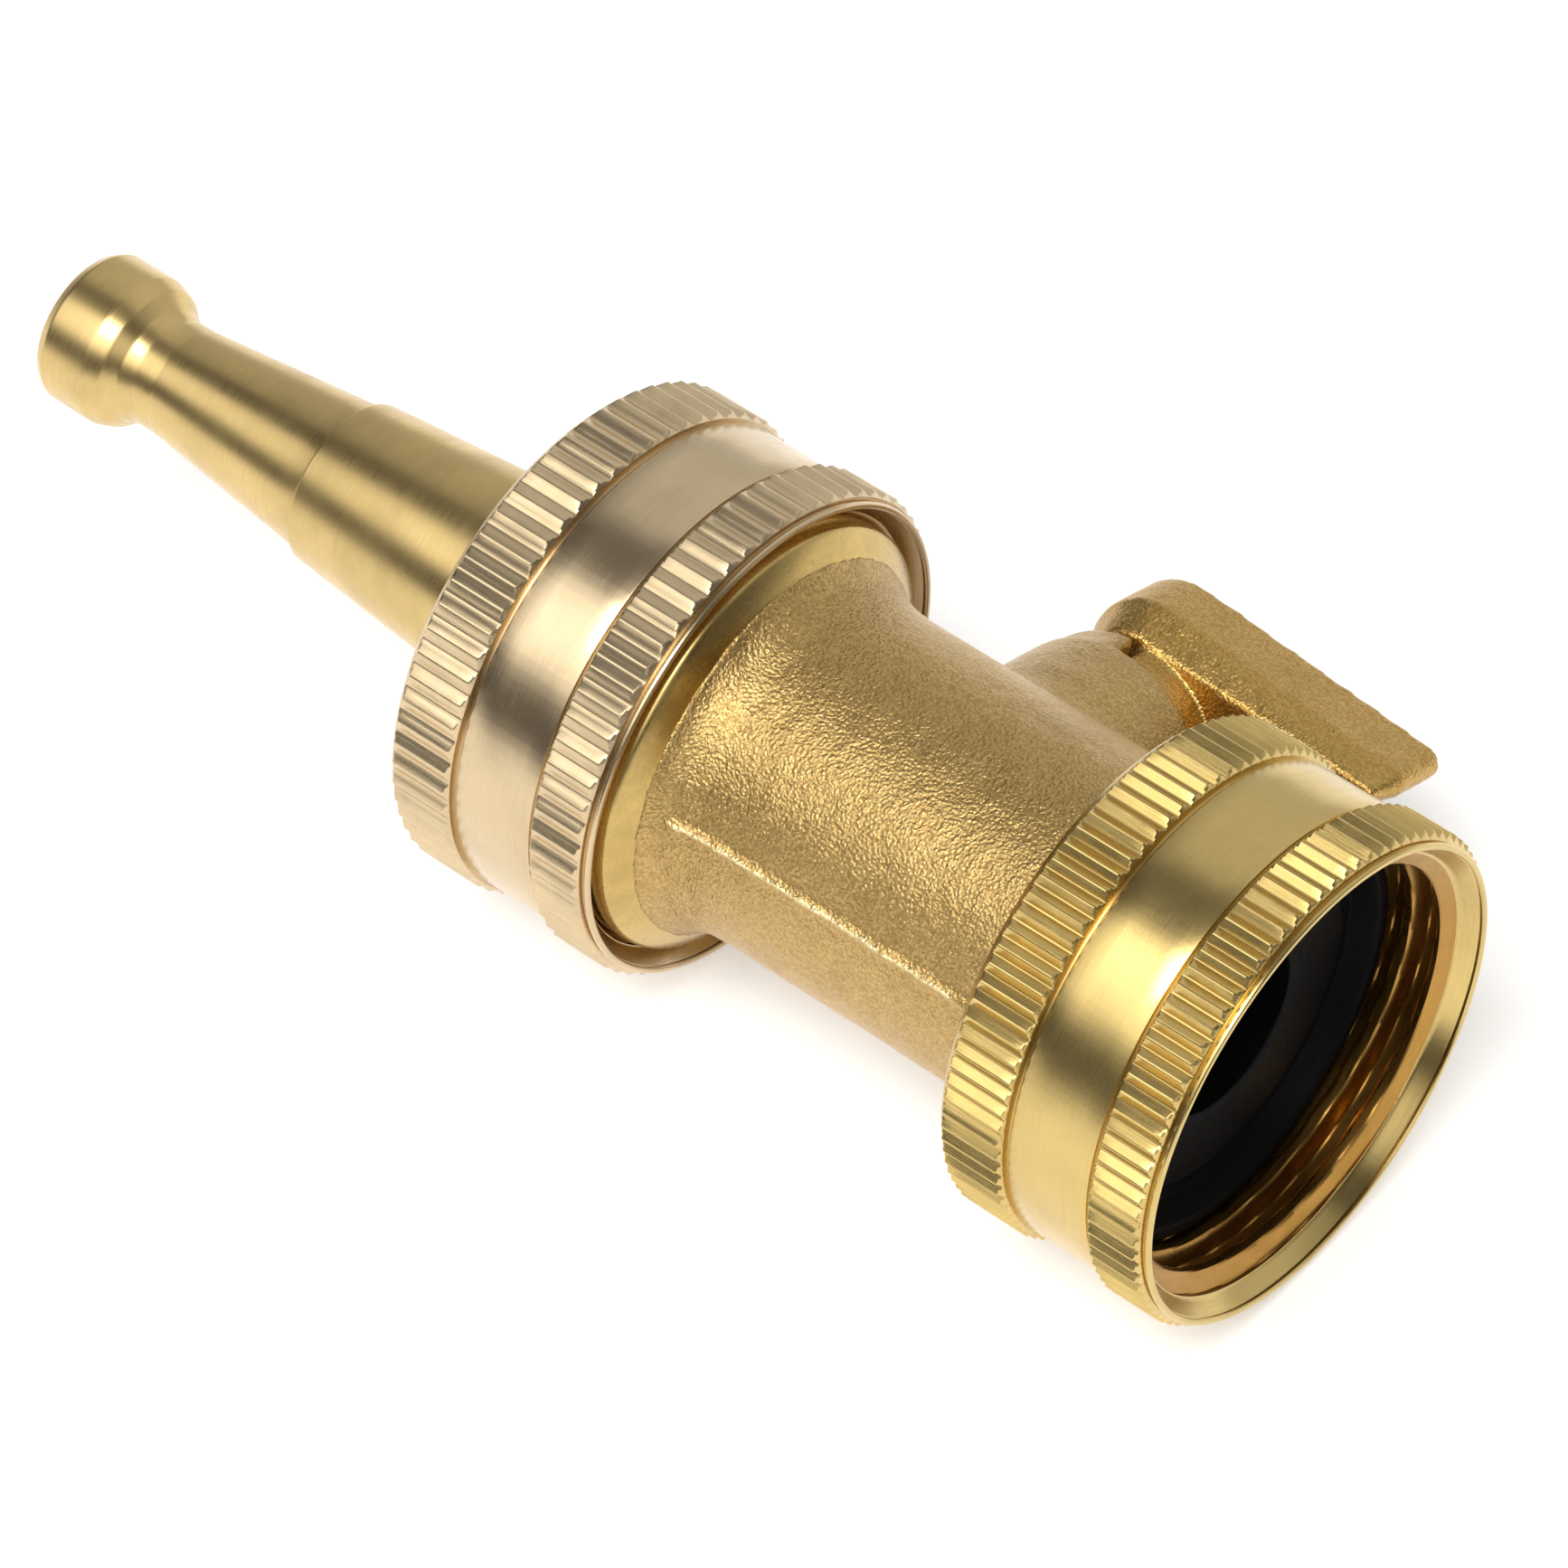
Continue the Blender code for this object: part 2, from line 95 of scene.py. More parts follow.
def fillet(points, closed=True):
    """Rounds the corners of a profile. A point is (x, r) or (x, r, radius)."""
    out = []
    count = len(points)
    for k, point in enumerate(points):
        radius = point[2] if len(point) > 2 else 0.0
        here = np.array(point[:2], float)
        if radius == 0.0 or (not closed and k in (0, count - 1)):
            out.append(tuple(here))
            continue
        before = np.array(points[k - 1][:2], float) - here
        after = np.array(points[(k + 1) % count][:2], float) - here
        len_b, len_a = np.linalg.norm(before), np.linalg.norm(after)
        before, after = before / len_b, after / len_a
        half = math.acos(max(-1.0, min(1.0, float(before @ after)))) / 2
        if half > math.radians(88):  # the corner is nearly straight
            out.append(tuple(here))
            continue
        back = min(radius / math.tan(half), 0.48 * len_b, 0.48 * len_a)
        start, end = here + before * back, here + after * back
        for t in np.linspace(0, 1, FILLET_STEPS + 1):
            out.append(tuple((1 - t) ** 2 * start + 2 * t * (1 - t) * here + t**2 * end))
    return out


def grid_mesh(name, x, r, angles, closed=True, sharp=SHARP):
    """A body made of rings about the valve frame's X: x and r have the shape (rings, angles).

    A closed body's last ring joins its first. An open body has a flat cap at both ends. Edges whose faces
    meet at more than the sharp angle, in degrees, stay sharp.
    """
    rings, count = r.shape
    mean_x, mean_r = x.mean(1), r.mean(1)
    if closed:
        area = np.sum(mean_x * np.roll(mean_r, -1) - np.roll(mean_x, -1) * mean_r)
    else:
        area = np.sum((mean_x[:-1] - mean_x[1:]) * (mean_r[:-1] + mean_r[1:]))
    order = -1 if area < 0 else 1
    i = np.arange(rings if closed else rings - 1)[:, None]
    j = np.arange(count)
    low, high, after = i * count, (i + 1) % rings * count, (j + 1) % count
    quads = np.stack([low + j, high + j, high + after, low + after], -1).reshape(-1, 4)
    faces = quads[:, ::order].tolist()
    if not closed:
        faces += [list(range(count))[::order], list(range((rings - 1) * count, rings * count))[::-order]]
    co = np.stack([x, r * np.cos(angles), r * np.sin(angles)], -1).reshape(-1, 3) * MM
    mesh = bpy.data.meshes.new(name)
    mesh.from_pydata(co.tolist(), [], faces)
    mesh.validate()
    mesh.shade_smooth()
    mesh.set_sharp_from_angle(angle=math.radians(sharp))
    return mesh


def turned(name, profile, count=192, closed=True):
    """A body of revolution about the valve frame's X, from a profile of (x, r) or (x, r, fillet radius)."""
    points = np.array(fillet(profile, closed))
    shape = np.ones((1, count))
    angles = np.linspace(0, 2 * math.pi, count, endpoint=False)
    return grid_mesh(name, points[:, :1] * shape, points[:, 1:] * shape, angles, closed)


class Rings:
    """A turned body that is built up ring by ring, each with one radius or with one for every angle."""

    def __init__(self, angles):
        self.angles = angles
        self.x, self.r, self.kinds = [], [], []

    def add(self, at, radius, kind=PLAIN):
        self.x.append(at + 0 * self.angles)
        self.r.append(radius + 0 * self.angles)
        self.kinds.append(kind)

    def add_all(self, pairs, shift=0.0, kind=PLAIN):
        for at, radius in pairs:
            self.add(at + shift, radius, kind)

    def mesh(self, name, sharp):
        """The closed body, with every face's material index set to the kind of its ring."""
        mesh = grid_mesh(name, np.array(self.x), np.array(self.r), self.angles, True, sharp)
        kinds = np.repeat(self.kinds, len(self.angles)).astype(np.int32)
        mesh.polygons.foreach_set("material_index", kinds)
        mesh.update()
        return mesh


def on_stem(mesh):
    """Stands a mesh made about X on the stem axis: its +X becomes the valve frame's -Y."""
    mesh.transform(TO_STEM)
    return mesh


def added(name, data):
    """A new object in the scene, for a mesh, a light or a camera."""
    item = bpy.data.objects.new(name, data)
    bpy.context.scene.collection.objects.link(item)
    return item


def piece(name, mesh, body, slot, nodes, *materials):
    """One visible piece: it moves with its body, takes the given materials and stands for the CAD's nodes.
    The slot is not used.
    """
    item = added(name, mesh)
    item.matrix_world = VALVE
    for material in materials:
        mesh.materials.append(material)
    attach(item, body)
    if nodes:
        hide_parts(*nodes)


def points_of(mesh):
    """The mesh's vertices as an array, in metres."""
    co = np.empty(len(mesh.vertices) * 3, np.float32)
    mesh.vertices.foreach_get("co", co)
    return co.reshape(-1, 3).astype(float)


def set_points(mesh, co):
    mesh.vertices.foreach_set("co", co.astype(np.float32).ravel())
    mesh.update()


def normals_of(mesh):
    """The mesh's vertex normals as an array."""
    found = np.empty(len(mesh.vertices) * 3, np.float32)
    mesh.vertex_normals.foreach_get("vector", found)
    return found.reshape(-1, 3).astype(float)


def relax(mesh, weights, rounds):
    """Laplacian smoothing, each vertex by its own weight."""
    edges = np.empty(len(mesh.edges) * 2, np.int32)
    mesh.edges.foreach_get("vertices", edges)
    a, b = edges.reshape(-1, 2).T
    count = len(mesh.vertices)
    degree = np.bincount(a, minlength=count) + np.bincount(b, minlength=count)
    co = points_of(mesh)
    for _ in range(rounds):
        total = np.stack([
            np.bincount(a, co[b, k], count) + np.bincount(b, co[a, k], count) for k in range(3)
        ], -1)
        co += weights[:, None] * (total / np.maximum(degree, 1)[:, None] - co)
    set_points(mesh, co)


def loft(name, sections):
    """A body that joins outlines of (x, z), each at its height from the pipe's axis along the stem."""
    bm = bmesh.new()
    rows = []
    for height, outline in sections:
        rows.append([bm.verts.new((x * MM, -height * MM, z * MM)) for x, z in outline])
    for low, high in zip(rows, rows[1:]):
        for k in range(len(low)):
            n = (k + 1) % len(low)
            bm.faces.new((low[k], low[n], high[n], high[k]))
    bm.faces.new(rows[0])
    bm.faces.new(rows[-1])
    bmesh.ops.recalc_face_normals(bm, faces=bm.faces)
    mesh = bpy.data.meshes.new(name)
    bm.to_mesh(mesh)
    bm.free()
    return mesh


def flat_prism(name, outline, base, top):
    """A prism along the stem, from one height from the pipe's axis to another."""
    return loft(name, [(base, outline), (top, outline)])


def carved(name, start, joins, cuts, voxel=0.0):
    """Joins and cuts meshes, then remeshes the result evenly if a voxel's size is given."""
    body = added(name, start)
    others = []
    for operation, meshes in (("UNION", joins), ("DIFFERENCE", cuts)):
        for mesh in meshes:
            other = added("other", mesh)
            modifier = body.modifiers.new("join", "BOOLEAN")
            modifier.operation = operation
            modifier.solver = "EXACT"
            modifier.object = other
            others.append(other)
    if voxel:
        remesh = body.modifiers.new("even", "REMESH")
        remesh.mode = "VOXEL"
        remesh.voxel_size = voxel * MM
    graph = bpy.context.evaluated_depsgraph_get()
    result = bpy.data.meshes.new_from_object(body.evaluated_get(graph))
    for item in [body, *others]:
        bpy.data.objects.remove(item, do_unlink=True)
    result.name = name
    result.shade_smooth()
    if not voxel:
        result.set_sharp_from_angle(angle=math.radians(SHARP))
    return result


def hashed(value):
    """A steady pseudo-random number from 0 to 1 for each input."""
    return np.mod(np.sin(np.asarray(value, float) * 12.9898) * 43758.5453, 1.0)


def bumps(co, size, seed, octaves=3):
    """Fractal noise at each point, in mm."""
    shift = Vector((seed * 17.3, seed * 5.1, seed * 9.7))
    scale = 1.0 / (size * MM)
    return np.array([noise.fractal(Vector(p) * scale + shift, 1.0, 2.0, octaves) for p in co])


# ---------------------------------------------------------------- materials


class Tree:
    """A material's node tree, with a short name for each kind of node. Textures count in mm."""

    def __init__(self, name, colour, roughness, metallic=1.0, **sockets):
        self.material = bpy.data.materials.new(name)
        self.material.use_nodes = True
        self.tree = self.material.node_tree
        self.shader = self.tree.nodes["Principled BSDF"]
        self.set(self.shader, {"Base Color": (*colour, 1.0), "Roughness": roughness, "Metallic": metallic})
        self.set(self.shader, {key.replace("_", " "): value for key, value in sockets.items()})
        self.coordinates = self.add("ShaderNodeTexCoord").outputs["Object"]

    def set(self, node, values):
        """Links each value that is a socket, and sets the others as defaults."""
        for key, value in values.items():
            if isinstance(value, bpy.types.NodeSocket):
                self.tree.links.new(value, node.inputs[key])
            else:
                node.inputs[key].default_value = value

    def add(self, kind, inputs=None, **options):
        node = self.tree.nodes.new(kind)
        for key, value in options.items():
            setattr(node, key, value)
        self.set(node, inputs or {})
        return node

    def math(self, operation, first, second=0.0):
        return self.add("ShaderNodeMath", {0: first, 1: second}, operation=operation).outputs[0]

    def stretched(self, x, y, z):
        """Object coordinates in cycles per mm along each axis."""
        inputs = {0: self.coordinates, 1: (x / MM, y / MM, z / MM)}
        return self.add("ShaderNodeVectorMath", inputs, operation="MULTIPLY").outputs[0]

    def noise(self, vector, scale, detail, roughness=0.5, distortion=0.0):
        inputs = {"Vector": vector, "Scale": scale, "Detail": detail, "Roughness": roughness,
                  "Distortion": distortion}
        return self.add("ShaderNodeTexNoise", inputs).outputs["Fac"]

    def cells(self, vector, scale):
        """The distance to the nearest of many scattered points."""
        return self.add("ShaderNodeTexVoronoi", {"Vector": vector, "Scale": scale}).outputs["Distance"]

    def span(self, value, low, high, to_low=0.0, to_high=1.0):
        """The value, stretched from low..high to to_low..to_high and held there."""
        inputs = {0: value, 1: low, 2: high, 3: to_low, 4: to_high}
        return self.add("ShaderNodeMapRange", inputs).outputs[0]

    def mix(self, factor, first, second):
        """A mix of two colours, each a socket or (r, g, b)."""
        first, second = ((*value, 1.0) if isinstance(value, tuple) else value for value in (first, second))
        return self.add("ShaderNodeMix", {0: factor, 6: first, 7: second}, data_type="RGBA").outputs[2]

    def bump(self, height, distance, strength):
        inputs = {"Height": height, "Distance": distance * MM, "Strength": strength}
        return self.add("ShaderNodeBump", inputs).outputs[0]

    def finish(self, colour, roughness=None, normal=None):
        for key, value in (("Base Color", colour), ("Roughness", roughness), ("Normal", normal)):
            if value is not None:
                self.tree.links.new(value, self.shader.inputs[key])
        return self.material


def darker(colour, share):
    return tuple(share * c for c in colour)


def parting_line(t, here):
    """1 along the body's parting line, on the side away from the stem, and 0 elsewhere."""
    x, y, z = t.add("ShaderNodeSeparateXYZ", {0: here}).outputs
    wander = t.math("MULTIPLY", t.math("SUBTRACT", t.noise(here, 1.4, 3.0, 0.7), 0.5), 0.3)
    across = t.math("ABSOLUTE", t.math("ADD", z, wander))
    line = t.math("MULTIPLY", t.span(across, 0.0, 0.2, 1.0, 0.0), t.span(y, 9.0, 9.6))
    line = t.math("MULTIPLY", line, t.span(t.math("ABSOLUTE", x), 9.4, 10.0, 1.0, 0.0))
    return t.math("MULTIPLY", line, t.span(t.noise(here, 2.0, 2.0), 0.3, 0.5, 0.35, 1.0))


def cast_brass(name, light, dark, grain=1.0, seam=None):
    """Sand-cast brass: a fine pebbled skin with dark pits and stains, and a parting line of colour seam."""
    t = Tree(name, light, 0.4)
    here = t.stretched(1, 1, 1)
    pebbles = t.noise(here, 6.0, 2.0, 0.55)
    height = t.math("ADD", pebbles, t.math("MULTIPLY", t.cells(here, 4.4), -0.5))
    cloud = t.noise(here, 0.3, 4.0, 0.6)
    pits = t.span(t.noise(here, 2.3, 5.0, 0.75), 0.68, 0.74, 0.0, 0.6)
    colour = t.mix(t.span(height, 0.1, 0.5), dark, light)
    colour = t.mix(t.span(cloud, 0.5, 0.75, 0.0, 0.4), colour, darker(dark, 0.78))
    colour = t.mix(pits, colour, (0.09, 0.07, 0.045))
    rough = t.span(t.noise(here, 0.9, 2.0), 0.3, 0.7, 0.29, 0.38)
    if seam:
        line = parting_line(t, here)
        colour = t.mix(line, colour, seam)
        height = t.math("ADD", height, t.math("MULTIPLY", line, 0.9))
    return t.finish(colour, rough, t.bump(height, 0.085 * grain, 0.9))


def machined_brass(name, colour, roughness, lines=(14.0, 0.35, 0.35), depth=0.004, tint=0.9, anisotropic=0.0):
    """Machined brass with fine marks: lines gives cycles per mm along each axis, depth the bump in mm."""
    t = Tree(name, colour, roughness, Anisotropic=anisotropic, Anisotropic_Rotation=0.25)
    marks = t.noise(t.stretched(*lines), 1.0, 4.0, 0.7)
    wide = t.noise(t.stretched(*(0.22 * v for v in lines)), 1.0, 3.0, 0.6)
    blotch = t.noise(t.stretched(0.25, 0.25, 0.25), 1.0, 3.0, 0.6, 0.4)
    shade = t.mix(t.span(blotch, 0.35, 0.7), colour, darker(colour, tint))
    shade = t.mix(t.math("MULTIPLY", t.span(marks, 0.45, 0.75), 0.35), shade, darker(colour, 0.72))
    rough = t.span(t.math("ADD", marks, blotch), 0.7, 1.3, roughness * 0.8, roughness * 1.25)
    height = t.math("ADD", marks, t.math("MULTIPLY", wide, 0.6))
    if anisotropic:
        tangent = t.add("ShaderNodeTangent", direction_type="RADIAL", axis="X")
        t.set(t.shader, {"Tangent": tangent.outputs[0]})
    return t.finish(shade, rough, t.bump(height, depth, 0.6))


def plain(name, colour, roughness, metallic, size=2.0, depth=0.01, **sockets):
    """Rubber, plastic, plating and steel: a fine uneven skin."""
    t = Tree(name, colour, roughness, metallic, **sockets)
    here = t.stretched(1, 1, 1)
    skin = t.noise(here, size, 4.0, 0.6)
    shade = t.mix(skin, darker(colour, 0.85), tuple(min(1.0, 1.12 * c) for c in colour))
    rough = t.span(skin, 0.3, 0.7, roughness * 0.85, roughness * 1.2)
    return t.finish(shade, rough, t.bump(skin, depth, 0.5))


BODY_BRASS = cast_brass("body_brass", (0.62, 0.43, 0.17), (0.44, 0.28, 0.10), seam=(0.95, 0.76, 0.42))
LEVER_BRASS = cast_brass("lever_brass", (0.64, 0.42, 0.14), (0.48, 0.29, 0.08), 0.8)
PALE_BAND = machined_brass("pale_band", (0.66, 0.51, 0.315), 0.24, depth=0.006, anisotropic=0.4)
YELLOW_BAND = machined_brass("yellow_band", (0.65, 0.475, 0.18), 0.24, depth=0.009, anisotropic=0.4)
PALE_KNURL = machined_brass("pale_knurl", (0.68, 0.525, 0.32), 0.27, (0.35, 9.0, 9.0), 0.014, 0.85)
YELLOW_KNURL = machined_brass("yellow_knurl", (0.67, 0.485, 0.175), 0.27, (0.35, 9.0, 9.0), 0.014, 0.85)
# The nuts' threads and floors get a darker, more orange brass: painted shade for the little light that gets
# inside a nut.
SHADED_BORE_BRASS = machined_brass("bore_brass_painted_shade", (0.46, 0.25, 0.06), 0.3, (6.0, 0.5, 0.5), 0.004)
TURNED_BRASS = machined_brass("turned_brass", (0.67, 0.485, 0.205), 0.3, (9.0, 0.3, 0.3), 0.005, 0.85, 0.4)
FLANGE_BRASS = machined_brass("flange_brass", (0.60, 0.42, 0.15), 0.26, (9.0, 2.0, 2.0), 0.006, 0.8)
STEM_BRASS = machined_brass("stem_brass", (0.74, 0.54, 0.24), 0.25, (0.4, 8.0, 0.4), 0.004)
RUBBER = plain("rubber", (0.003, 0.003, 0.0035), 0.5, 0.0, 3.0, 0.01, Specular_IOR_Level=0.06)
PTFE = plain("ptfe", (0.82, 0.82, 0.78), 0.45, 0.0, 1.0, 0.01)
CHROME = plain("chrome", (0.80, 0.81, 0.82), 0.06, 1.0, 0.5, 0.002)
STEEL = plain("steel", (0.60, 0.59, 0.57), 0.28, 1.0, 4.0, 0.006)


# ---------------------------------------------------------------- nuts


def tooth_angles(teeth):
    """Angles across every tooth, closer together at its crest and its valley."""
    across = np.array([0.0, 0.05, 0.2, 0.44, 0.5, 0.56, 0.8, 0.95])
    return ((np.arange(teeth)[:, None] + across) / teeth * 2 * math.pi).ravel(), across


def tooth_heights(teeth, across, depth):
    """Height above the valley for each angle: plane flanks, a narrow crest and a narrow valley."""
    wave = np.clip((0.46 - np.abs(across - 0.5)) / 0.42, 0.0, 1.0)
    scale = 1.0 - 0.09 * hashed(np.arange(teeth) + 0.5 * teeth)
    return (scale[:, None] * wave[None, :]).ravel() * depth


def thread_radius(depth, angles):
    """Inside radius of the right-hand hose thread, at a depth from a nut's mouth."""
    along = depth - THREAD_START - PITCH * (angles - math.pi) / (2 * math.pi)
    away = np.abs(np.mod(along + PITCH / 2, PITCH) - PITCH / 2)
    rise = np.clip((away - 0.22) / 0.62, 0.0, 1.0)
    return CREST_R + GROOVE * rise * rise * (3 - 2 * rise)


# A nut's plain rings as (depth from the mouth, radius), between its two knurled bands and inside its mouth.
NUT_BACK = ((14.1, 13.6), (14.1, 14.1), (14.07, 14.3), (13.98, 14.42), (13.85, 14.5))
NUT_WAIST = ((9.71, 14.5), (9.7, 14.36), (9.66, 14.28), (9.54, 14.27), (9.46, 14.34), (9.4, 14.46),
             (9.3, 14.5), (8.0, 14.5), (6.7, 14.5), (5.4, 14.5),
             (4.34, 14.5), (4.24, 14.46), (4.18, 14.34), (4.1, 14.28), (4.0, 14.3), (3.96, 14.4))
NUT_LIP = ((0.48, 14.5), (0.46, 14.38), (0.42, 14.34), (0.36, 14.36), (0.32, 14.48), (0.2, 14.52),
           (0.08, 14.5), (0.02, 14.44), (0.0, 14.36), (0.0, 14.24), (0.04, 14.17), (0.12, 14.12),
           (0.16, 14.18), (0.24, 14.18), (0.28, 14.1), (0.5, 13.94), (1.0, 13.6), (1.12, 13.52),
           (1.18, 13.46), (1.2, 13.4))
NUT_DEPTH, NUT_FLOOR = 14.1, 11.7


def nut(node, mouth, teeth, depth, hole, body, slot, materials):
    """A swivel nut: a turned cup with two knurled bands, an internal thread and a hole in its floor."""
    angles, across = tooth_angles(teeth)
    rings = Rings(angles)
    valley = KNURL_R - depth
    crest = valley + tooth_heights(teeth, across, depth)

    def band(start, end, chamfers):
        """Knurled rings from the deeper end to the shallower one, with a chamfer at both."""
        shares = np.linspace(0, 1, 5)
        chamfer = [np.minimum(crest, valley - 0.03 + (depth + 0.05) * share) for share in shares]
        first, last = start - chamfers[0], end + chamfers[1]
        for share, radius in zip(shares, chamfer):
            rings.add(mouth + start - chamfers[0] * share, radius, KNURLED)
        for at in np.linspace(first, last, 6)[1:-1]:
            rings.add(mouth + at, crest, KNURLED)
        for share, radius in zip(shares[::-1], chamfer[::-1]):
            rings.add(mouth + end + chamfers[1] * share, radius, KNURLED)

    rings.add_all([(NUT_DEPTH, hole), (NUT_DEPTH, hole + 0.3), *NUT_BACK], mouth)
    band(13.78, 9.72, (0.28, 0.24))
    rings.add_all(NUT_WAIST, mouth)
    band(3.95, 0.5, (0.24, 0.28))
    rings.add_all(NUT_LIP, mouth)
    for at in np.concatenate([np.arange(1.22, 6.2, 0.09), np.arange(6.2, 11.6, 0.35)]):
        lead_in = 13.36 - 2.2 * (at - 1.2)
        rings.add(mouth + at, np.maximum(thread_radius(at, angles), lead_in), INSIDE)
    floor = ((NUT_FLOOR, 13.4), (NUT_FLOOR, 12.0), (NUT_FLOOR, hole + 0.15), (NUT_FLOOR + 0.15, hole))
    rings.add_all(floor, mouth, INSIDE)
    piece(node + "_turned", rings.mesh(node + "_turned", 24.0), body, slot, [node], *materials)


# Each nut's inside takes the darkened bore brass, which is painted shade.
nut("inlet_nut", INLET_MOUTH, 88, 0.375, 9.5, "inlet_swivel", "yellow_brass",
    (YELLOW_BAND, YELLOW_KNURL, SHADED_BORE_BRASS))
nut("front_nut", FRONT_MOUTH, 64, 0.32, 7.1, "front_swivel", "pale_brass",
    (PALE_BAND, PALE_KNURL, SHADED_BORE_BRASS))


# ---------------------------------------------------------------- body, lever


def stem_sector(inner, outer, base, top, start, end):
    """Part of a ring round the stem, by angle in degrees from the inlet side towards the valve frame's +Z."""
    turn = np.radians(np.linspace(start, end, 40))
    ring = [(-outer * math.cos(a), outer * math.sin(a)) for a in turn]
    ring += [(-inner * math.cos(a), inner * math.sin(a)) for a in turn[::-1]]
    return flat_prism("sector", ring, base, top)


def stem_box(half_x, half_z, base, top):
    """A block about the stem's axis."""
    corners = [(-half_x, -half_z), (half_x, -half_z), (half_x, half_z), (-half_x, half_z)]
    return flat_prism("box", corners, base, top)


def stem_round(profile, count=96, closed=False):
    """A body of revolution about the stem, from a profile of (height from the pipe's axis, r)."""
    return on_stem(turned("round", profile, count, closed))


def near(values, low, high, soft):
    """1 between low and high, fading to 0 over soft on either side."""
    return np.clip((values - low) / soft + 1, 0, 1) * np.clip((high - values) / soft + 1, 0, 1)


def body_relief(co, barrel):
    """Height of the cast skin at each point, with the parting line's ridge and step where barrel is 1."""
    azimuth = np.degrees(np.arctan2(co[:, 2], -co[:, 1]))
    away = (np.abs(azimuth) - 179.6) * math.radians(1) * BODY_R
    width = 0.21 + 0.04 * np.sin(co[:, 0] * 2.1)
    ridge = 0.26 * np.exp(-(away / width) ** 2) * (0.75 + 0.5 * bumps(co * MM, 1.2, 3, 2))
    step = 0.09 * np.exp(-np.abs(away) / 2.2) * np.sign(azimuth) * np.tanh(np.abs(away) / 0.2)
    skin = 0.05 * bumps(co * MM, 2.6, 1) + 0.02 * bumps(co * MM, 0.8, 2)
    return skin + (ridge - step) * barrel


def body_casting():
    """The cast part of the valve body: barrel, boss and stop lug, with a rough skin and a parting line."""
    start = turned("casting", [
        (-11.7, 7.6), (-11.7, 10.1), (-11.2, 10.5, 0.3), (-8.0, 10.38, 4), (-3, BODY_R, 4), (6.5, BODY_R, 3),
        (8.4, 10.4, 2), (9.8, 10.75, 1.5), (10.7, 11.3, 0.8), (11.15, 11.95), (11.15, BORE_R), (7.2, BORE_R),
        (7.2, 7.6),
    ], 128)
    boss = stem_round([(7.0, BOSS_R), (BOSS_TOP, BOSS_R)])
    lug = stem_sector(4.5, 6.5, BOSS_TOP - 1.0, 17.75, 97, 173)
    bore = stem_round([(4.0, 4.9), (9.8, 4.9), (9.8, 3.7), (19.0, 3.7)])
    mesh = carved("valve_body_casting", start, [boss, lug], [bore], 0.2)
    co = points_of(mesh) / MM
    out = -co[:, 1]
    pipe_r = np.hypot(co[:, 1], co[:, 2])
    stem_r = np.hypot(co[:, 0], co[:, 2])
    outside = near(pipe_r, 9.4, 40, 0.4)
    barrel = near(pipe_r, 9.9, 10.6, 0.4)
    corner = near(stem_r, 5.6, 8.2, 0.8) * near(out, 5.0, 10.8, 0.8) * near(pipe_r, 9.6, 12.4, 0.5)
    rim = near(out, 15.0, 18.0, 0.4) * near(stem_r, 4.6, 8.0, 0.4)
    relax(mesh, 0.5 * np.ones(len(co)), 5)
    relax(mesh, 0.5 * corner, 90)
    relax(mesh, 0.5 * rim, 14)
    co = points_of(mesh) / MM
    co += normals_of(mesh) * (body_relief(co, barrel) * outside)[:, None]
    set_points(mesh, co * MM)
    return mesh


def spigot():
    """The machined end of the body: a bright cone, a shoulder and the hose thread for the front nut."""
    rings = Rings(np.linspace(0, 2 * math.pi, 256, endpoint=False))
    rings.add_all([
        (10.6, BORE_R), (10.6, 11.0), (10.9, 11.4), (11.15, 11.86), (11.5, 12.4), (11.8, 12.85),
        (11.9, 12.97), (12.0, 13.04), (12.15, 13.08), (12.4, 13.1), (13.5, 13.1), (13.6, 13.05), (13.7, 12.6),
        (13.8, 12.25),
    ])
    for at in np.arange(13.9, 18.05, 0.1):
        radius = np.clip(thread_radius(at - FRONT_MOUTH, rings.angles) - 0.3, 12.2, 12.95)
        rings.add(at, np.minimum(radius, 12.3 + 1.2 * (18.05 - at)))
    rings.add_all([(18.1, 12.2), (18.4, 11.9), (18.4, 8.4), (18.3, 8.25), (14.0, BORE_R)])
    return rings.mesh("valve_body_spigot", 26.0)


def lever_outline(grow=0.0):
    """The lever in plan: straight sides tangent to two circles at the wide head and one at the tip."""
    corner_a = (0.0, -3.37, 4.0 + grow)
    corner_b = (0.0, 3.37, 4.0 + grow)
    tip = (15.85, 0.0, 0.95 + 0.5 * grow)
    circles = (corner_a, tip, corner_b)
    turns = []
    for (u0, w0, r0), (u1, w1, r1) in zip(circles, circles[1:] + circles[:1]):
        reach = math.hypot(u1 - u0, w1 - w0)
        turns.append(math.atan2(w1 - w0, u1 - u0) - math.acos((r0 - r1) / reach))
    points = []
    for k, (u, w, radius) in enumerate(circles):
        start, end = turns[k - 1], turns[k]
        while end < start:
            end += 2 * math.pi
        for angle in np.linspace(start, end, 17):
            along, across = u + radius * math.cos(angle), w + radius * math.sin(angle)
            points.append((-along * math.cos(LEVER_TILT) + across * math.sin(LEVER_TILT),
                           along * math.sin(LEVER_TILT) + across * math.cos(LEVER_TILT)))
    return points


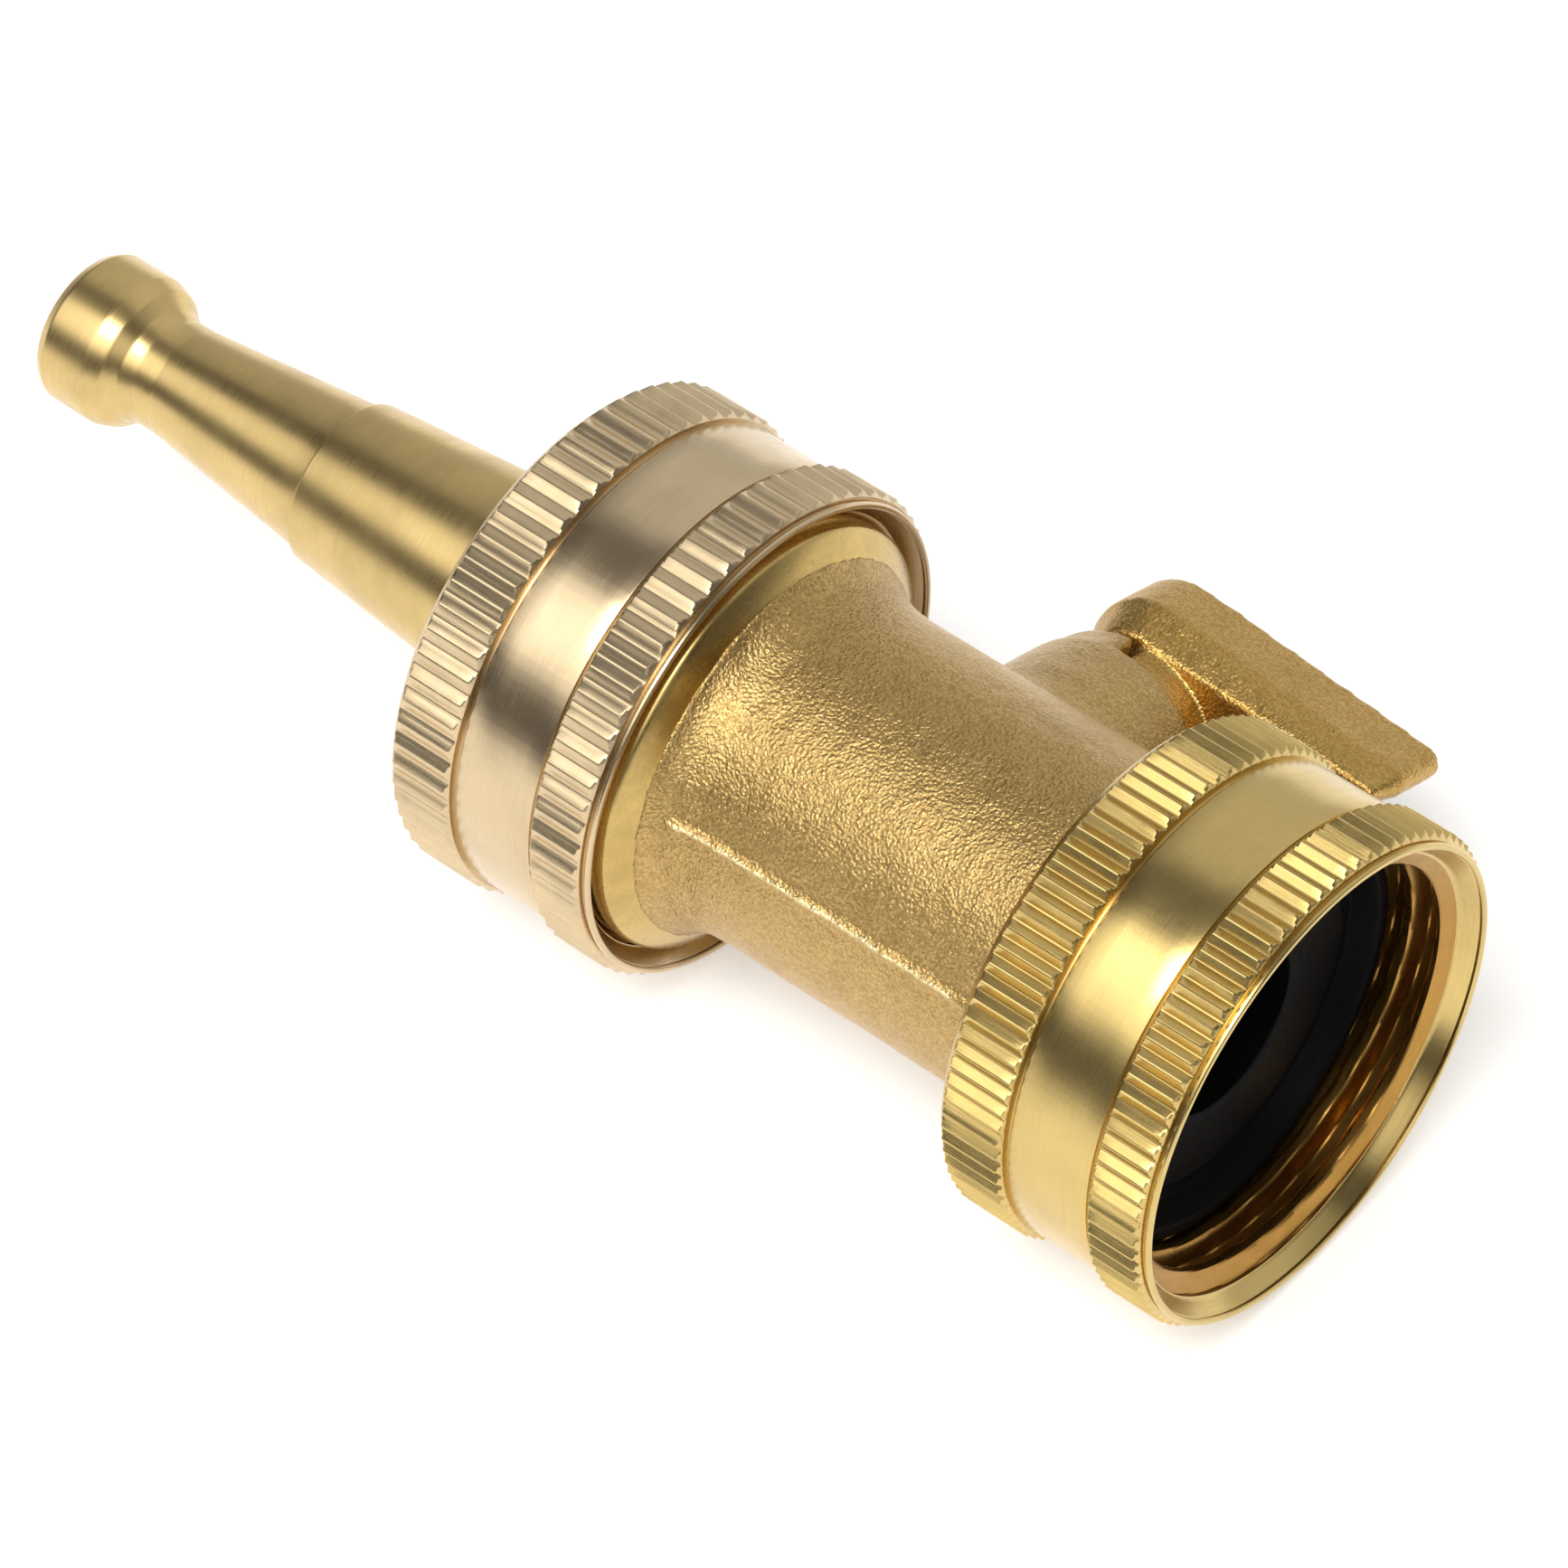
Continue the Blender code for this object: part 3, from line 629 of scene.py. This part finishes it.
def lever_casting():
    """The cast wedge lever, with a bevelled foot, a stop skirt, a square hole and a recess for the screw."""
    start = flat_prism("lever_casting", lever_outline(), LEVER_BASE, LEVER_TOP)
    foot = loft("foot", [(18.2, lever_outline(-1.2)), (LEVER_BASE + 0.1, lever_outline())])
    skirt = stem_sector(4.7, 5.6, 16.0, 19.2, 95.5, -95.5)
    hole = stem_box(2.5, 2.5, 17.0, 25.0)
    recess = stem_round([(21.4, 3.6), (23.0, 3.62), (25.0, 3.64)])
    mesh = carved("lever_casting", start, [foot, skirt], [hole, recess], 0.17)
    co = points_of(mesh) / MM
    stem_r = np.hypot(co[:, 0], co[:, 2])
    relax(mesh, 0.5 * np.ones(len(co)), 3)
    co = points_of(mesh) / MM
    skin = 0.04 * bumps(co * MM, 2.8, 4) + 0.02 * bumps(co * MM, 0.7, 5)
    co += normals_of(mesh) * (skin * near(stem_r, 4.4, 40, 0.3))[:, None]
    set_points(mesh, co * MM)
    return mesh


def lever_screw():
    start = stem_round([(16.6, 1.2), (16.7, 1.3), (22.3, 1.3), (22.3, 2.85, 0.1), (22.45, 3.0, 0.1),
                        (23.1, 3.0, 0.2), (23.6, 2.5, 0.4), (23.85, 1.5, 0.5), (23.9, 0.3)])
    cross = [stem_box(a, b, 22.9, 25.0) for a, b in ((1.9, 0.35), (0.35, 1.9))]
    return carved("lever_screw_head", start, [], cross)


def stem():
    """The stem: a collar, two grooves for O-rings, a tang into the ball and a square for the lever."""
    start = stem_round([(7.65, 4.5), (7.75, 4.6), (8.8, 4.6), (8.9, 4.5), (8.9, STEM_R), (11.0, STEM_R),
                        (11.0, 2.5), (12.4, 2.5), (12.4, STEM_R), (13.2, STEM_R), (13.2, 2.5), (14.6, 2.5),
                        (14.6, STEM_R), (18.1, STEM_R), (18.2, 3.3)])
    tang = stem_box(2.6, 1.05, 5.1, 8.2)
    square = stem_box(2.3, 2.3, 17.0, 21.0)
    screw_hole = stem_round([(15.6, 1.6), (22.0, 1.6)])
    return carved("stem_turned", start, [tang, square], [screw_hole])


def ball():
    arc = [(7.0 * math.cos(a), 7.0 * math.sin(a)) for a in np.radians(np.linspace(41, 139, 60))]
    start = turned("ball_bored", [*arc, (-5.2, 4.5), (5.2, 4.5)], 128)
    return carved("ball_bored", start, [], [stem_box(5.6, 1.35, 4.8, 9.0)])


piece("valve_body_casting", body_casting(), "valve", "cast_brass", ["valve_body"], BODY_BRASS)
piece("valve_body_spigot", spigot(), "valve", "cast_brass", [], FLANGE_BRASS)
piece("lever_casting", lever_casting(), "lever_and_ball", "cast_brass", ["lever"], LEVER_BRASS)
piece("lever_screw_head", lever_screw(), "lever_and_ball", "steel", ["lever_screw"], STEEL)
piece("stem_turned", stem(), "lever_and_ball", "yellow_brass", ["stem"], STEM_BRASS)
piece("ball_bored", ball(), "lever_and_ball", "chrome", ["ball"], CHROME)


# ---------------------------------------------------------------- turned pieces


def wire_ring(at, radius, wire):
    """An O-ring's profile."""
    return [(at + wire * math.cos(a), radius + wire * math.sin(a))
            for a in np.linspace(0, 2 * math.pi, 20, endpoint=False)]


def plain_ring(base, top, inner, outer, edge=0.08):
    return [(base, inner, edge), (base, outer, edge), (top, outer, edge), (top, inner, edge)]


def seat_ring(side):
    """A ball seat's profile, hollowed to the ball, on the jet's side (1) or the inlet's (-1)."""
    face = [(side * 7.25 * math.cos(a), 7.25 * math.sin(a)) for a in np.radians(np.linspace(41, 65, 12))]
    return [*face, (side * 3.0, 7.3), (side * 6.9, 7.3), (side * 6.9, face[0][1])]


TAILPIECE = (
    (-7.2, BORE_R, 0.2), (-7.2, 7.3, 0.2), (-8.5, 7.3, 0.1), (-8.5, 6.1), (-10.1, 6.1), (-10.1, 7.3, 0.1),
    (-12.0, 7.3), (-12.0, 9.2, 0.15), (-13.1, 9.2, 0.1), (-13.1, 7.9), (-14.5, 7.9), (-14.5, 9.2, 0.1),
    (-15.3, 9.2), (-15.3, 12.2, 0.15), (-17.3, 12.2, 0.15), (-17.3, 6.4, 0.2), (-15.7, BORE_R, 0.3),
)
GROOVES = [(-20.6 + (0.03 if k % 2 else 0.0), 5.6 + 0.19 * k) for k in range(20)]
HOSE_WASHER = (
    (-20.45, 5.2, 0.1), *GROOVES, (-20.6, 9.5, 0.1), (-20.2, 9.75, 0.15), (-20.2, 10.75, 0.15),
    (-20.9, 11.1, 0.3), (-21.7, 11.5, 0.3), (-21.7, 12.25, 0.3), (-20.4, 12.6, 0.3), (-17.6, 12.7, 0.2),
    (-17.6, 5.2, 0.2),
)
JET = (
    (20.8, 6.2, 0.3), (20.8, 12.9, 0.2), (22.8, 12.9, 0.2), (22.8, 7.6), (22.9, 7.0, 0.5), (23.4, 6.72, 0.6),
    (32.6, 5.82, 3), (41.9, 5.0, 0.12), (42.05, 4.68, 0.12), (43.4, 4.5, 1), (54.0, 3.32, 2),
    (55.4, 3.3, 0.8), (56.2, 3.6, 0.6), (57.0, 4.3, 0.6), (58.0, 4.65, 0.8), (60.9, 4.65, 0.4),
    (61.5, 4.3, 0.3), (NOZZLE_TIP, 3.8, 0.2), (NOZZLE_TIP, 3.05, 0.15),
    (61.2, 2.95, 0.2), (55.0, 2.4, 2), (48.0, 2.6, 2), (41.7, 3.4, 2), (22.3, 5.3, 1),
)

# Node, profile, body, slot and material of each piece about the pipe. Those about the stem share one body.
ON_PIPE = (
    ("tailpiece", TAILPIECE, "valve", "turned_brass", TURNED_BRASS),
    ("tailpiece_oring", wire_ring(-9.3, 6.85, 0.6), "valve", "rubber", RUBBER),
    ("inlet_swivel_oring", wire_ring(-13.8, 8.75, 0.55), "valve", "rubber", RUBBER),
    ("seat_front", seat_ring(1), "valve", "ptfe", PTFE),
    ("seat_rear", seat_ring(-1), "valve", "ptfe", PTFE),
    ("hose_washer", HOSE_WASHER, "inlet_swivel", "rubber", RUBBER),
    ("nozzle", JET, "jet", "turned_brass", TURNED_BRASS),
    ("front_washer", plain_ring(18.7, 20.5, 9.0, 12.7, 0.2), "jet", "rubber", RUBBER),
    ("nozzle_slip_ring", plain_ring(23.05, 23.35, 7.4, 12.4, 0.05), "jet", "ptfe", PTFE),
)
ON_STEM = (
    ("stem_oring_lower", wire_ring(11.7, 3.08, 0.5), "rubber", RUBBER),
    ("stem_oring_upper", wire_ring(13.9, 3.08, 0.5), "rubber", RUBBER),
    ("stem_thrust_washer", plain_ring(9.1, 9.6, 3.65, 4.7), "ptfe", PTFE),
    ("stem_washer", plain_ring(15.95, 16.5, 3.65, 4.6), "steel", STEEL),
    ("lever_washer", plain_ring(21.65, 22.1, 1.8, 3.4), "steel", STEEL),
)
for node, profile, body, slot, material in ON_PIPE:
    piece(node + "_fine", turned(node + "_fine", profile, 256), body, slot, [node], material)
for node, profile, slot, material in ON_STEM:
    piece(node + "_fine", stem_round(profile, 128, True), "lever_and_ball", slot, [node], material)


# ---------------------------------------------------------------- stage, light, camera


def stage_floor():
    """A white floor, a little lit of its own, which turns grey far behind the nozzle."""
    mesh = bpy.data.meshes.new("floor")
    mesh.from_pydata([(-2, -2, 0), (2, -2, 0), (2, 2, 0), (-2, 2, 0)], [], [(0, 1, 2, 3)])
    t = Tree("floor", (0.9, 0.9, 0.9), 0.9, 0.0)
    y = t.add("ShaderNodeSeparateXYZ", {0: t.coordinates}).outputs[1]
    cloud = t.noise(t.stretched(0.002, 0.002, 0.002), 1.0, 2.0)
    white = t.mix(cloud, (0.9, 0.9, 0.895), (0.86, 0.86, 0.86))
    colour = t.mix(t.span(y, 0.07, 0.3), white, (0.38, 0.375, 0.37))
    t.set(t.shader, {"Emission Color": colour, "Emission Strength": 0.42})
    mesh.materials.append(t.finish(colour))
    item = added("floor", mesh)


# The studio's light as (angle about the pipe in degrees, level): 0 along the stem, 90 on the valve frame's Z.
STRIPS = ((-180, 0.13), (-150, 0.13), (-128, 0.3), (-60, 0.5), (-20, 0.6), (20, 0.65), (60, 0.8), (90, 0.7),
          (99, 0.19), (122, 0.17), (132, 1.8), (148, 2.15), (163, 2.0), (175, 0.4), (180, 0.13))
BRIGHT = 2.2


def surroundings():
    """A studio that is light and dark in long strips beside the pipe, and dim at the pipe's two ends."""
    world = bpy.data.worlds.new("studio")
    bpy.context.scene.world = world
    world.use_nodes = True
    tree = world.node_tree
    background = tree.nodes["Background"]
    direction = tree.nodes.new("ShaderNodeTexCoord").outputs["Generated"]

    def added_node(kind, links=None, values=(), **options):
        node = tree.nodes.new(kind)
        for key, value in options.items():
            setattr(node, key, value)
        for key, socket in (links or {}).items():
            tree.links.new(socket, node.inputs[key])
        for key, value in values:
            node.inputs[key].default_value = value
        return node

    def along(vector):
        node = added_node("ShaderNodeVectorMath", {0: direction}, ((1, vector),), operation="DOT_PRODUCT")
        return node.outputs["Value"]

    def span(socket, low, high, to_low, to_high):
        values = ((1, low), (2, high), (3, to_low), (4, to_high))
        return added_node("ShaderNodeMapRange", {0: socket}, values).outputs[0]

    angle = added_node("ShaderNodeMath", {0: along(SIDE), 1: along(STEM)}, operation="ARCTAN2").outputs[0]
    ramp = added_node("ShaderNodeValToRGB", {0: span(angle, -math.pi, math.pi, 0.0, 1.0)})
    elements = ramp.color_ramp.elements
    for k, (degrees, level) in enumerate((STRIPS[0], STRIPS[-1], *STRIPS[1:-1])):
        element = elements[k] if k < 2 else elements.new((degrees + 180) / 360)
        share = level / BRIGHT
        element.color = (share, share, 0.985 * share, 1.0)
    ends = added_node("ShaderNodeMath", {0: along(PIPE)}, operation="ABSOLUTE").outputs[0]
    tree.links.new(ramp.outputs[0], background.inputs["Color"])
    tree.links.new(span(ends, 0.5, 0.85, BRIGHT, 0.4), background.inputs["Strength"])


def key_light():
    """A soft rectangle above and behind the nozzle. Its place is in metres in the frame's own axes."""
    data = bpy.data.lights.new("key", "AREA")
    data.shape = "RECTANGLE"
    data.size, data.size_y = 0.5, 0.3
    data.energy = 3.0
    item = added("key", data)
    item.location = (-0.1, 0.35, 0.75)
    item.rotation_euler = (-item.location).to_track_quat("-Z", "Y").to_euler()


CAMERA_FROM = Vector((-218.4, 383.0, 282.4))
CAMERA_AT = Vector((9.78, 0.0, -1.72))
CAMERA_ROLL = math.radians(14.112)


def camera():
    """The main camera, placed in the valve frame."""
    data = bpy.data.cameras.new("camera")
    data.lens = 223.6
    data.sensor_width = 36.0
    aim = (CAMERA_AT - CAMERA_FROM).to_track_quat("-Z", "Y").to_matrix().to_4x4()
    item = added("camera", data)
    item.matrix_world = (VALVE @ Matrix.Translation(CAMERA_FROM * MM) @ aim
                         @ Matrix.Rotation(CAMERA_ROLL, 4, "Z"))
    bpy.context.scene.camera = item


stage_floor()
surroundings()
key_light()
camera()
bpy.context.scene.view_settings.view_transform = "Standard"
